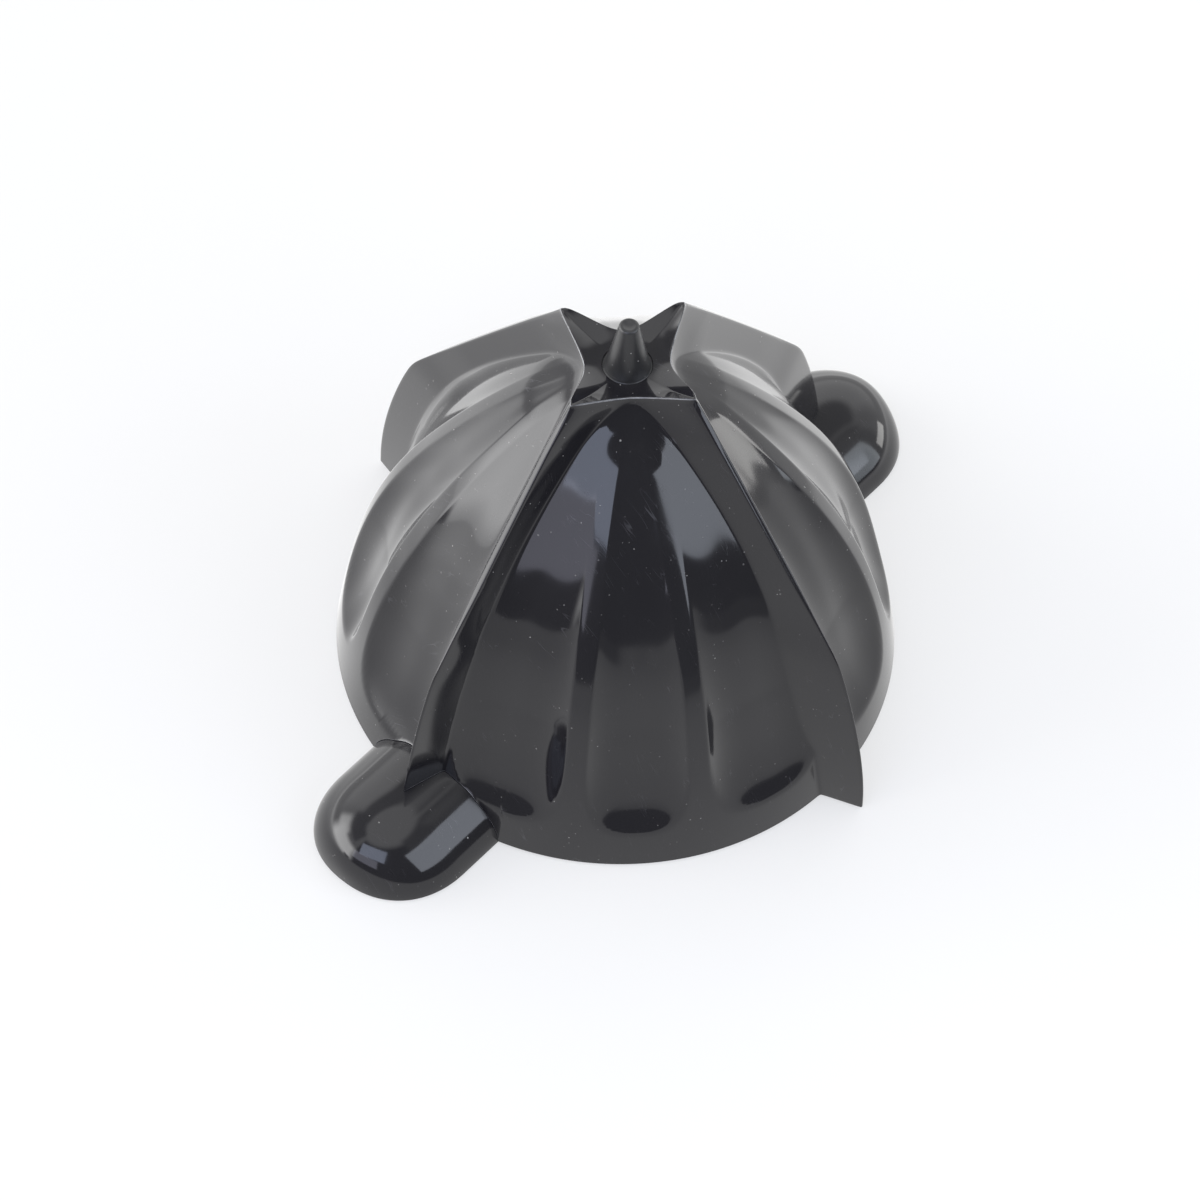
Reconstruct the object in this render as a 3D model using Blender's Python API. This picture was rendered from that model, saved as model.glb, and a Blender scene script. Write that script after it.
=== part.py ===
"""Press cone set of an electric citrus juicer.

A large cone with four blade fins and twelve flutes sits over a small cone. The small cone carries
the centre pin that spears the fruit, the bush that the machine's spindle drives, and two arms whose
rounded caps sweep the pulp over the strainer. The caps' line is the X axis, the turning axis is Z,
the table is z = 0, and the large cone lifts off upwards.
"""
import math

import bmesh
import bpy
import numpy as np

# Large cone, outside
RIM_RADIUS = 0.0410
RIM_LIFT = 0.0004
CROWN_MID_RADIUS = 0.0060
CROWN_MID_HEIGHT = 0.0630
CROWN_CORNER_RADIUS = 0.01133
CROWN_CORNER_RISE = 0.00225
WALL = 0.0020
DOME_FOOT_HANDLE = (0.0039, 0.0265)
DOME_TOP_HANDLE = (0.0255, 0.0233)

# Fins
FIN_COUNT = 4
FIN_REACH = 0.0058
FIN_LAND = 0.0008
FIN_LEAD_SLOPE = 0.37
FIN_TRAIL_SLOPE = 0.25
FIN_OPEN_SLOPE = 0.45
FIN_OPEN_HEIGHT = 0.0560
FIN_TURN = math.radians(0.8)
FIN_TURN_FADE = 0.0060
FIN_SHOULDER_INSET = 0.0016
FIN_SHOULDER_HEIGHT = 0.0300
FIN_FOOT_HANDLE = 0.0129
FIN_SHOULDER_HANDLE = 0.0010
FIN_BOW = 0.0010

# Ridges between two fins, each with a flat land, and the flat-floored flutes beside them
RIDGE_ANGLES = (math.radians(30.7), math.radians(57.6))
RIDGE_LAND = 0.0031
RIDGE_TOP_LAND = 0.0023
FLUTE_DEPTH = 0.0028
FLUTE_TOP_DEPTH = 0.0005
FLUTE_FADE = 1.5
FLUTE_FLOOR_POWER = 3.2
FLUTE_END_HEIGHT = 0.0066
FLUTE_END_LENGTH = 0.0092

# Well of the crown and the hole for the pin
WELL_FLOOR_DROP = 0.0002
WELL_CURVE = 1.8
WELL_STEPS = (0.2, 0.4, 0.65)
COLLAR_RADIUS = 0.0034

# Centre pin
PIN_BASE_RADIUS = 0.0029
PIN_TIP_RADIUS = 0.00145
PIN_HEIGHT = 0.0085
PIN_FLARE = 0.0004
PIN_TIP_ROUND = 0.0005
PIN_DIMPLE = 0.0002
PIN_COLUMNS = 24
SHANK_RADIUS = 0.0018
SHANK_LENGTH = 0.0090

# Small cone
SMALL_RADIUS = 0.0265
SMALL_TOP_RADIUS = 0.0052
SMALL_WALL = 0.0019
SMALL_FOOT_RADIUS = 0.0320
SMALL_FOOT_HEIGHT = 0.0022
SMALL_BOW = 0.0042
SMALL_FLUTES = 8
SMALL_FLUTE_DEPTH = 0.0016
SMALL_FLUTE_END = 0.0070
SMALL_COLUMNS = 72
HUB_WALL = 0.0020
HUB_LIFT = 0.0130
HUB_RIB_THICKNESS = 0.0018
HUB_RIB_LIFT = 0.0040
HUB_RIBS = 4

# Bush that takes the machine's spindle
BUSH_ACROSS_FLATS = 0.0120
BUSH_LENGTH = 0.0220
BUSH_FLANGE_RADIUS = 0.0090
BUSH_FLANGE_HEIGHT = 0.0016
SOCKET_ACROSS_FLATS = 0.0078
SOCKET_DEPTH = 0.0190
BUSH_COLUMNS = 48

# Wiper caps on the arms
CAP_HALF_WIDTH = 0.0120
CAP_HEIGHT = 0.0096
CAP_REACH = 0.0178
CAP_NOSE = 0.0118
CAP_START_INSET = 0.0048
CAP_WALL = 0.0017
CAP_LIFT = 0.0004
CAP_PLAN_POWER = 2.4
CAP_NOSE_POWER = 3.4
CAP_SECTION_POWER = 1.6
ARM_WALL = 0.0017
ARM_END_INSET = 0.0100

# Fit between neighbours
CLEARANCE = 0.0003

# Finishes: colour and roughness
GLOSS_BLACK = ((0.012, 0.012, 0.014), 0.12)
MATT_BLACK = ((0.030, 0.030, 0.032), 0.50)
BUSH_GREY = ((0.160, 0.160, 0.170), 0.45)

# Fineness of the surfaces
FLUTE_STEPS = 4
FACE_STEPS = 3
FOOT_RINGS = 2
FLUTE_END_RINGS = 4
OUTER_RINGS = 17
INNER_RINGS = 13
SMALL_OUTER_RINGS = 12
SMALL_INNER_RINGS = 9
ARCH_POINTS = 17
DENSE = 241
LEAST_STEP = math.radians(0.6)
SHARP_ANGLE = math.radians(35.0)

# Sizes that follow from the ones above
SECTOR = 2.0 * math.pi / FIN_COUNT
CROWN_FLOOR = CROWN_MID_HEIGHT - WELL_FLOOR_DROP
SMALL_TOP = CROWN_FLOOR - WALL - CLEARANCE
HUB_ACROSS_FLATS = BUSH_ACROSS_FLATS + 2.0 * CLEARANCE
HUB_RADIUS = HUB_ACROSS_FLATS / 2.0 / math.cos(math.pi / 6.0) + HUB_WALL
HUB_CEILING = HUB_LIFT + CLEARANCE + BUSH_LENGTH
CAP_END = RIM_RADIUS + CAP_REACH
CAP_START = RIM_RADIUS - CAP_START_INSET


def bezier(start, first_handle, second_handle, end, count=160):
    """Points along a cubic curve through two ends, pulled by two handles."""
    t = np.linspace(0.0, 1.0, count)[:, None]
    start, first_handle, second_handle, end = (np.array(p, float)
                                               for p in (start, first_handle, second_handle, end))
    return ((1 - t) ** 3 * start + 3 * (1 - t) ** 2 * t * first_handle
            + 3 * (1 - t) * t * t * second_handle + t ** 3 * end)


def make_material(name, colour, roughness):
    """Plain plastic finish."""
    material = bpy.data.materials.new(name)
    material.use_nodes = True
    shader = material.node_tree.nodes["Principled BSDF"]
    shader.inputs["Base Color"].default_value = (*colour, 1.0)
    shader.inputs["Roughness"].default_value = roughness
    shader.inputs["Metallic"].default_value = 0.0
    material.diffuse_color = (*colour, 1.0)
    return material


def add_object(name, mesh, finish=None, parent=None):
    """Put a mesh into the scene under its node's name, with a material of its own."""
    body = bpy.data.objects.new(name, mesh)
    bpy.context.scene.collection.objects.link(body)
    if finish is not None:
        mesh.materials.append(make_material(name, *finish))
    body.parent = parent
    return body


def finish_mesh(name, bm):
    """Weld, turn the faces outwards and shade a mesh smooth between its sharp edges."""
    bmesh.ops.remove_doubles(bm, verts=bm.verts, dist=1e-7)
    bmesh.ops.dissolve_degenerate(bm, edges=bm.edges, dist=1e-7)
    bmesh.ops.recalc_face_normals(bm, faces=bm.faces)
    mesh = bpy.data.meshes.new(name)
    bm.to_mesh(mesh)
    bm.free()
    mesh.shade_smooth()
    mesh.set_sharp_from_angle(angle=SHARP_ANGLE)
    return mesh


def loft_rings(name, rings):
    """Skin a closed row of closed rings, the last joined to the first, as one ring-shaped body."""
    bm = bmesh.new()
    rows = [[bm.verts.new(point) for point in ring] for ring in rings]
    count = len(rows[0])
    for row, following in zip(rows, rows[1:] + rows[:1]):
        for i in range(count):
            j = (i + 1) % count
            bm.faces.new((row[i], row[j], following[j], following[i]))
    return finish_mesh(name, bm)


def loft_capped(name, rings):
    """Skin an open row of closed rings and close both ends with flat faces."""
    bm = bmesh.new()
    rows = [[bm.verts.new(point) for point in ring] for ring in rings]
    count = len(rows[0])
    for row, following in zip(rows, rows[1:]):
        for i in range(count):
            j = (i + 1) % count
            bm.faces.new((row[i], row[j], following[j], following[i]))
    bm.faces.new(rows[0])
    bm.faces.new(rows[-1])
    return finish_mesh(name, bm)


def apply_boolean(body, cutter, operation):
    """Cut or join another body and keep the result in the mesh."""
    modifier = body.modifiers.new(cutter.name, "BOOLEAN")
    modifier.operation = operation
    modifier.solver = "EXACT"
    modifier.object = cutter
    graph = bpy.context.evaluated_depsgraph_get()
    result = bpy.data.meshes.new_from_object(body.evaluated_get(graph))
    body.modifiers.clear()
    old = body.data
    body.data = result
    bpy.data.meshes.remove(old)
    bpy.data.objects.remove(cutter, do_unlink=True)
    body.data.shade_smooth()
    body.data.set_sharp_from_angle(angle=SHARP_ANGLE)


def dome_profile():
    """Radius of the dome's ridges against height, from the rim to the middle of the crown."""
    foot = (RIM_RADIUS, RIM_LIFT)
    top = (CROWN_MID_RADIUS + FLUTE_TOP_DEPTH, CROWN_MID_HEIGHT)
    return bezier(foot, (foot[0] - DOME_FOOT_HANDLE[0], foot[1] + DOME_FOOT_HANDLE[1]),
                  (top[0] + DOME_TOP_HANDLE[0], top[1] - DOME_TOP_HANDLE[1]), top)


def crest_profile():
    """Radius of the fins' crest against height: a curved foot and a bowed straight up to the crown."""
    foot = (RIM_RADIUS + FIN_REACH, RIM_LIFT)
    shoulder = (RIM_RADIUS - FIN_SHOULDER_INSET, FIN_SHOULDER_HEIGHT)
    crown = (CROWN_CORNER_RADIUS, CROWN_MID_HEIGHT + CROWN_CORNER_RISE)
    slope = (shoulder[0] - crown[0]) / (crown[1] - shoulder[1])
    lower = bezier(foot, (foot[0], foot[1] + FIN_FOOT_HANDLE),
                   (shoulder[0] + FIN_SHOULDER_HANDLE * slope, shoulder[1] - FIN_SHOULDER_HANDLE),
                   shoulder)
    share = np.linspace(0.0, 1.0, 60)[1:]
    radius = shoulder[0] + (crown[0] - shoulder[0]) * share + FIN_BOW * 4.0 * share * (1.0 - share)
    height = shoulder[1] + (crown[1] - shoulder[1]) * share
    return np.vstack([lower, np.stack([radius, height], 1)])


DOME = dome_profile()
CREST = crest_profile()


def crown_chord(azimuth):
    """Place along one side of the crown: 0 in the middle, 1 at the fins' lands."""
    local = np.mod(azimuth, SECTOR) - SECTOR / 2.0
    half_land = math.atan(FIN_LAND / 2.0 / CROWN_CORNER_RADIUS)
    return local, np.clip(np.tan(np.abs(local)) / math.tan(SECTOR / 2.0 - half_land), 0.0, 1.0)


def crown_height(azimuth):
    """Height of the crown's rim: highest at the fins, dipping like a parabola between them."""
    _, chord = crown_chord(azimuth)
    return CROWN_MID_HEIGHT + CROWN_CORNER_RISE * chord ** 2


def crown_radius(azimuth):
    """Radius of the crown's rim: a square with hollow sides and its corners on the fins."""
    local, chord = crown_chord(azimuth)
    corner = CROWN_CORNER_RADIUS * math.cos(SECTOR / 2.0) + FIN_LAND / 2.0 * math.sin(SECTOR / 2.0)
    return (CROWN_MID_RADIUS + (corner - CROWN_MID_RADIUS) * chord ** 2) / np.cos(local)


def ridge_half_angle(height):
    """Angle from a ridge's middle to the edge of its land."""
    share = np.clip((height - RIM_LIFT) / (CROWN_MID_HEIGHT - RIM_LIFT), 0.0, 1.0)
    land = RIDGE_LAND + (RIDGE_TOP_LAND - RIDGE_LAND) * share
    return land / 2.0 / np.interp(height, DOME[:, 1], DOME[:, 0])


def dome_radius(azimuth, height, inset=0.0):
    """Radius of the fluted dome. The inset measures a wall inwards, square to the dome's slope."""
    ridge = np.interp(height, DOME[:, 1], DOME[:, 0])
    slope = np.gradient(DOME[:, 0], DOME[:, 1])
    lean = np.interp(height, DOME[:, 1], slope)
    edges = np.array([0.0, *RIDGE_ANGLES, SECTOR])
    local = np.mod(azimuth, SECTOR)
    flute = np.clip(np.searchsorted(edges, local, side="right") - 1, 0, len(RIDGE_ANGLES))
    half = (edges[flute + 1] - edges[flute]) / 2.0 - ridge_half_angle(height)
    across = np.abs(local - (edges[flute + 1] + edges[flute]) / 2.0) / half
    full = FLUTE_END_HEIGHT + FLUTE_END_LENGTH
    along = np.clip((full - height) / FLUTE_END_LENGTH, 0.0, None)
    rise = np.clip((height - full) / (CROWN_MID_HEIGHT - full), 0.0, 1.0)
    depth = FLUTE_DEPTH + (FLUTE_TOP_DEPTH - FLUTE_DEPTH) * rise ** FLUTE_FADE
    scoop = depth * np.clip(1.0 - across ** FLUTE_FLOOR_POWER - along ** 2, 0.0, None)
    return ridge - scoop - inset * np.sqrt(1.0 + lean ** 2)


def fin_turn(height):
    """Angle by which the fins lag behind the crown's corners: none at the top, the same further down."""
    top = CROWN_MID_HEIGHT + CROWN_CORNER_RISE
    return FIN_TURN * np.clip((top - height) / FIN_TURN_FADE, 0.0, 1.0)


def fin_radius(azimuth, height):
    """Radius of the fins: a narrow land and two faces, the trailing one steeper, opening at the top."""
    local = np.mod(azimuth + fin_turn(height) + SECTOR / 2.0, SECTOR) - SECTOR / 2.0
    crest = np.interp(height, CREST[:, 1], CREST[:, 0])
    opening = np.clip((height - FIN_OPEN_HEIGHT) / (CROWN_MID_HEIGHT - FIN_OPEN_HEIGHT), 0.0, 1.0) ** 2
    slope = np.where(local > 0.0, FIN_TRAIL_SLOPE, FIN_LEAD_SLOPE)
    slope = slope + (FIN_OPEN_SLOPE - slope) * opening
    half = FIN_LAND / 2.0
    face = (crest + half / slope) / (np.cos(local) + np.abs(np.sin(local)) / slope)
    land = crest / np.cos(local)
    return np.minimum(face, land)


def sector_azimuths(share):
    """Columns of one sector at a share of the height, on the fins' faces, the lands and the flutes."""
    corner = RIM_LIFT + share * (crown_height(0.0) - RIM_LIFT)
    crest = -float(fin_turn(corner))
    dense = np.linspace(crest, crest + SECTOR, DENSE)
    height = RIM_LIFT + share * (crown_height(dense) - RIM_LIFT)
    outside = fin_radius(dense, height) > dome_radius(dense, height)
    middle = DENSE // 2
    trail_foot = dense[np.where(outside[:middle])[0].max() + 1]
    lead_foot = dense[middle + np.where(outside[middle:])[0].min() - 1]
    land = math.atan(FIN_LAND / 2.0 / float(np.interp(corner, CREST[:, 1], CREST[:, 0])))
    half = float(ridge_half_angle(corner))
    edges = [ridge + side * half for ridge in RIDGE_ANGLES for side in (-1.0, 1.0)]
    edges = [min(max(edge, trail_foot + LEAST_STEP * (k + 1)),
                 lead_foot - LEAST_STEP * (len(edges) - k)) for k, edge in enumerate(edges)]
    columns = list(np.linspace(crest + land, trail_foot, FACE_STEPS, endpoint=False))
    for start, end in zip([trail_foot, *edges[1::2]], [*edges[::2], lead_foot]):
        columns += list(np.linspace(start, end, FLUTE_STEPS + 1))
    columns += list(np.linspace(lead_foot, crest + SECTOR - land, FACE_STEPS + 1))[1:]
    return np.array(columns)


def ring_azimuths(share):
    """Columns all round at a share of the height."""
    columns = sector_azimuths(share)
    return np.concatenate([columns + k * SECTOR for k in range(FIN_COUNT)])


def polar(radius, azimuth, height):
    """Points from radius, azimuth and height."""
    height = np.broadcast_to(height, np.shape(azimuth))
    return np.stack([radius * np.cos(azimuth), radius * np.sin(azimuth), height], 1)


def outer_shares():
    """Places of the outside's rings, from 0 at the rim to 1 at the crown, closer on the flutes' ends."""
    start, full = (np.array([FLUTE_END_HEIGHT, FLUTE_END_HEIGHT + FLUTE_END_LENGTH]) - RIM_LIFT) \
        / (CROWN_MID_HEIGHT - RIM_LIFT)
    return np.concatenate([np.linspace(0.0, start, FOOT_RINGS, endpoint=False),
                           np.linspace(start, full, FLUTE_END_RINGS, endpoint=False),
                           np.linspace(full, 1.0, OUTER_RINGS)])


def large_cone_rings():
    """Closed row of rings: up the outside, over the well, through the pin's hole, down the inside."""
    rings = []
    for share in outer_shares():
        azimuth = ring_azimuths(share)
        height = RIM_LIFT + share * (crown_height(azimuth) - RIM_LIFT)
        radius = np.maximum(dome_radius(azimuth, height), fin_radius(azimuth, height))
        if share == 1.0:
            radius = crown_radius(azimuth)
        rings.append(polar(radius, azimuth, height))
    rim_radius, rim_height = radius, height
    hole = np.full_like(azimuth, COLLAR_RADIUS + CLEARANCE)
    for inward in WELL_STEPS:
        drop = 1.0 - (1.0 - inward) ** WELL_CURVE
        rings.append(polar(rim_radius + (hole - rim_radius) * inward, azimuth,
                           rim_height + (CROWN_FLOOR - rim_height) * drop))
    underside = CROWN_FLOOR - WALL
    rings.append(polar(hole, azimuth, CROWN_FLOOR))
    rings.append(polar(hole, azimuth, underside))
    for height in np.linspace(underside, RIM_LIFT, INNER_RINGS):
        azimuth = ring_azimuths((height - RIM_LIFT) / (CROWN_MID_HEIGHT - RIM_LIFT))
        rings.append(polar(dome_radius(azimuth, height, WALL), azimuth, height))
    return rings


def cap_profile(position, half_width, height, start_nose, nose):
    """Half width and height of the cap's arch at a distance from the axis."""
    share = min(max((position - start_nose) / nose, 0.0), 1.0)
    return (half_width * (1.0 - share ** CAP_PLAN_POWER) ** (1.0 / CAP_PLAN_POWER),
            height * (1.0 - share ** CAP_NOSE_POWER) ** (1.0 / CAP_NOSE_POWER))


def arch_points(half_width, height, position, base):
    """Arch across the arm, from one foot over the top to the other."""
    angle = np.linspace(0.0, math.pi, ARCH_POINTS)
    power = 2.0 / CAP_SECTION_POWER
    across = half_width * np.sign(np.cos(angle)) * np.abs(np.cos(angle)) ** power
    up = base + height * np.abs(np.sin(angle)) ** power
    return np.stack([np.full_like(across, position), across, up], 1)


def cap_mesh(name):
    """Wiper cap: an arched hollow shell, open below and towards the axis, closed by a round nose."""
    nose_start = CAP_END - CAP_NOSE
    quarter = np.linspace(0.0, math.pi / 2.0, 11)
    shares = np.concatenate([[-1.0, -0.5], np.sin(quarter)])
    outer, inner = [], []
    for share in shares:
        if share < 0.0:
            position = nose_start + share * (nose_start - CAP_START)
        else:
            position = nose_start + share * CAP_NOSE
        width, height = cap_profile(position, CAP_HALF_WIDTH, CAP_HEIGHT, nose_start, CAP_NOSE)
        outer.append(arch_points(width, height, position, CAP_LIFT))
        if share > 0.0:
            position = nose_start + share * (CAP_NOSE - CAP_WALL)
        width, height = cap_profile(position, CAP_HALF_WIDTH - CAP_WALL, CAP_HEIGHT - CAP_WALL,
                                    nose_start, CAP_NOSE - CAP_WALL)
        inner.append(arch_points(width, height, position, CAP_LIFT))
    return arch_shell(name, outer, inner)


def arch_shell(name, outer, inner):
    """Shell between two rows of arches, with a flat rim below and a flat rim at the open end."""
    bm = bmesh.new()
    outside = [[bm.verts.new(p) for p in arch] for arch in outer]
    inside = [[bm.verts.new(p) for p in arch] for arch in inner]
    last = len(outside[0]) - 1
    for k in range(len(outside) - 1):
        for i in range(last):
            bm.faces.new((outside[k][i], outside[k][i + 1], outside[k + 1][i + 1], outside[k + 1][i]))
            bm.faces.new((inside[k][i], inside[k + 1][i], inside[k + 1][i + 1], inside[k][i + 1]))
        for i in (0, last):
            bm.faces.new((outside[k][i], outside[k + 1][i], inside[k + 1][i], inside[k][i]))
    for i in range(last):
        bm.faces.new((outside[0][i], outside[0][i + 1], inside[0][i + 1], inside[0][i]))
        if outer[-1][0][1] - outer[-1][last][1] > 1e-6:
            bm.faces.new((outside[-1][i], outside[-1][i + 1], inside[-1][i + 1], inside[-1][i]))
    return finish_mesh(name, bm)


def build_large_cone(finish, parent):
    """Fluted and finned outer cone with an arched notch over each wiper cap."""
    cone = add_object("large_cone", loft_rings("large_cone", large_cone_rings()), finish, parent)
    for side in (-1.0, 1.0):
        rings = []
        for position in (SMALL_FOOT_RADIUS, RIM_RADIUS + FIN_REACH + WALL):
            arch = arch_points(CAP_HALF_WIDTH + CLEARANCE, CAP_HEIGHT + CLEARANCE,
                               side * position, CAP_LIFT)
            below = arch[[-1, 0]].copy()
            below[:, 2] = -CAP_LIFT
            rings.append(np.vstack([arch, below]))
        cutter = add_object("notch_cutter", loft_capped("notch_cutter", rings))
        cutter.hide_render = True
        cutter.display_type = "WIRE"
        apply_boolean(cone, cutter, "DIFFERENCE")
    return cone


def small_radius(azimuth, height, inset=0.0):
    """Radius of the small cone: a bowed taper with shallow flutes."""
    rise = SMALL_TOP - SMALL_FOOT_HEIGHT
    share = np.clip((height - SMALL_FOOT_HEIGHT) / rise, 0.0, 1.0)
    taper = SMALL_RADIUS + (SMALL_TOP_RADIUS - SMALL_RADIUS) * share
    ridge = taper + SMALL_BOW * 4.0 * share * (1.0 - share)
    cell = 2.0 * math.pi / SMALL_FLUTES
    across = (np.mod(azimuth, cell) - cell / 2.0) / (cell / 2.0)
    start = np.clip((height - SMALL_FLUTE_END) / SMALL_FLUTE_END, 0.0, 1.0)
    scoop = SMALL_FLUTE_DEPTH * start * np.sqrt(1.0 - share) * (1.0 - across ** 2)
    return ridge - scoop - inset * math.hypot(1.0, (SMALL_RADIUS - SMALL_TOP_RADIUS) / rise)


def hexagon_radius(azimuth, across_flats):
    """Radius of a hexagon of a given size across its flats."""
    local = np.mod(azimuth, math.pi / 3.0) - math.pi / 6.0
    return across_flats / 2.0 / np.cos(local)


def small_cone_rings():
    """Closed row of rings: foot, outside, top, pin's bore, hub and inside of the small cone."""
    azimuth = np.linspace(0.0, 2.0 * math.pi, SMALL_COLUMNS, endpoint=False)
    circle = np.ones_like(azimuth)
    rings = [polar(SMALL_FOOT_RADIUS * circle, azimuth, 0.0),
             polar(SMALL_FOOT_RADIUS * circle, azimuth, SMALL_FOOT_HEIGHT)]
    for height in np.linspace(SMALL_FOOT_HEIGHT, SMALL_TOP, SMALL_OUTER_RINGS):
        rings.append(polar(small_radius(azimuth, height), azimuth, height))
    bore = SHANK_RADIUS + CLEARANCE
    rings.append(polar(bore * circle, azimuth, SMALL_TOP))
    rings.append(polar(bore * circle, azimuth, HUB_CEILING))
    rings.append(polar(hexagon_radius(azimuth, HUB_ACROSS_FLATS), azimuth, HUB_CEILING))
    rings.append(polar(hexagon_radius(azimuth, HUB_ACROSS_FLATS), azimuth, HUB_LIFT))
    rings.append(polar(HUB_RADIUS * circle, azimuth, HUB_LIFT))
    meeting = hub_meeting_height()
    rings.append(polar(HUB_RADIUS * circle, azimuth, meeting))
    for height in np.linspace(meeting, 0.0, SMALL_INNER_RINGS)[1:]:
        rings.append(polar(small_radius(azimuth, height, SMALL_WALL), azimuth, height))
    return rings


def hub_meeting_height():
    """Height at which the hub's outside runs into the inside of the small cone."""
    heights = np.linspace(SMALL_TOP, HUB_LIFT, DENSE)
    valley = math.pi / SMALL_FLUTES
    inside = np.array([float(small_radius(valley, h, SMALL_WALL)) for h in heights])
    return float(heights[np.argmax(inside > HUB_RADIUS + SMALL_WALL)])


def build_small_cone(finish, parent):
    """Inner cone with its hub, hub ribs, foot ring and the two arms that carry the caps."""
    cone = add_object("small_cone", loft_rings("small_cone", small_cone_rings()), finish, parent)
    for k in range(HUB_RIBS):
        azimuth = (2 * k + 1) * math.pi / HUB_RIBS
        apply_boolean(cone, add_object("hub_rib", rib_mesh(azimuth)), "UNION")
    for side in (-1.0, 1.0):
        apply_boolean(cone, add_object("arm", arm_mesh(side)), "UNION")
    return cone


def rib_mesh(azimuth):
    """Radial rib between the hub and the small cone's wall, sunk into both and into the roof above."""
    low, high = HUB_LIFT + HUB_RIB_LIFT, hub_meeting_height() + SMALL_WALL
    near = HUB_RADIUS - HUB_WALL / 2.0
    valley = math.pi / SMALL_FLUTES
    outline = [(near, low)]
    for height in np.linspace(low, high, SMALL_INNER_RINGS):
        wall = float(small_radius(valley, height, SMALL_WALL)) + SMALL_WALL / 3.0
        outline.append((wall, height))
    outline.append((near, high))
    along = np.array([math.cos(azimuth), math.sin(azimuth), 0.0])
    across = np.array([-math.sin(azimuth), math.cos(azimuth), 0.0]) * HUB_RIB_THICKNESS / 2.0
    rings = []
    for side in (-1.0, 1.0):
        rings.append([along * radius + side * across + np.array([0.0, 0.0, height])
                      for radius, height in outline])
    return loft_capped("hub_rib", rings)


def arm_mesh(side):
    """Arched channel from the small cone's wall out into the wiper cap."""
    width = CAP_HALF_WIDTH - CAP_WALL - CLEARANCE
    height = CAP_LIFT + CAP_HEIGHT - CAP_WALL - CLEARANCE
    near = SMALL_RADIUS - SMALL_WALL / 2.0
    far = CAP_END - CAP_WALL - ARM_END_INSET
    outer, inner = [], []
    for position in (near, (near + far) / 2.0, far):
        outer.append(arch_points(width, height, side * position, 0.0))
        inner.append(arch_points(width - ARM_WALL, height - ARM_WALL, side * position, 0.0))
    return arch_shell("arm", outer, inner)


def build_wiper_cap(name, side, finish, parent):
    """Wiper cap over one arm."""
    cap = add_object(name, cap_mesh(name), finish, parent)
    if side < 0.0:
        cap.rotation_euler = (0.0, 0.0, math.pi)
    return cap


def build_centre_pin(finish, parent):
    """Pin with its collar in the crown's hole and its shank in the small cone."""
    seat = SMALL_TOP + CLEARANCE
    tip = CROWN_FLOOR + PIN_HEIGHT
    profile = [(SHANK_RADIUS, seat - SHANK_LENGTH), (SHANK_RADIUS, seat), (COLLAR_RADIUS, seat),
               (COLLAR_RADIUS, CROWN_FLOOR)]
    for share in np.linspace(0.0, 1.0, 7):
        flare = PIN_FLARE * (1.0 - share) ** 4
        radius = PIN_BASE_RADIUS - PIN_FLARE + (PIN_TIP_RADIUS - PIN_BASE_RADIUS + PIN_FLARE) * share
        profile.append((radius + flare, CROWN_FLOOR + (PIN_HEIGHT - PIN_TIP_ROUND) * share))
    for angle in np.linspace(0.0, math.pi / 2.0, 4)[1:]:
        profile.append((PIN_TIP_RADIUS - PIN_TIP_ROUND * (1.0 - math.cos(angle)),
                        tip - PIN_TIP_ROUND * (1.0 - math.sin(angle))))
    profile.append(((PIN_TIP_RADIUS - PIN_TIP_ROUND) / 2.0, tip - PIN_DIMPLE))
    azimuth = np.linspace(0.0, 2.0 * math.pi, PIN_COLUMNS, endpoint=False)
    rings = [polar(np.full_like(azimuth, radius), azimuth, height) for radius, height in profile]
    return add_object("centre_pin", loft_capped("centre_pin", rings), finish, parent)


def build_drive_bush(finish, parent):
    """Hexagonal bush in the hub, flanged below, with a hexagonal socket for the spindle."""
    azimuth = np.linspace(0.0, 2.0 * math.pi, BUSH_COLUMNS, endpoint=False)
    circle = np.ones_like(azimuth)
    seat = HUB_LIFT - CLEARANCE
    low = seat - BUSH_FLANGE_HEIGHT
    body = hexagon_radius(azimuth, BUSH_ACROSS_FLATS)
    socket = hexagon_radius(azimuth, SOCKET_ACROSS_FLATS)
    rings = [polar(socket, azimuth, low + SOCKET_DEPTH), polar(socket, azimuth, low),
             polar(BUSH_FLANGE_RADIUS * circle, azimuth, low),
             polar(BUSH_FLANGE_RADIUS * circle, azimuth, seat), polar(body, azimuth, seat),
             polar(body, azimuth, seat + BUSH_LENGTH)]
    return add_object("drive_bush", loft_capped("drive_bush", rings), finish, parent)


def main():
    """Clear the scene and build the cone set."""
    for body in list(bpy.data.objects):
        bpy.data.objects.remove(body, do_unlink=True)
    carrier = bpy.data.objects.new("carrier_frame", None)
    lifting = bpy.data.objects.new("lift_axis", None)
    for empty in (carrier, lifting):
        bpy.context.scene.collection.objects.link(empty)
    build_small_cone(GLOSS_BLACK, carrier)
    build_centre_pin(MATT_BLACK, carrier)
    build_drive_bush(BUSH_GREY, carrier)
    build_wiper_cap("wiper_cap_right", 1.0, GLOSS_BLACK, carrier)
    build_wiper_cap("wiper_cap_left", -1.0, GLOSS_BLACK, carrier)
    build_large_cone(GLOSS_BLACK, lifting)


if __name__ == "__main__":
    main()
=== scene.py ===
"""Looks for the press cone set of a citrus juicer.

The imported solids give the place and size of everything. This script lays fine moulded surfaces
over the cone, the pin and the wiper caps, gives every piece its plastic, and sets up a pale table
with soft studio light and the photograph's view. Lengths are in metres, angles in radians.
"""
import logging
import math
from dataclasses import dataclass, field
from enum import Enum

import bmesh
import bpy
import numpy as np
from mathutils import Matrix


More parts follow.
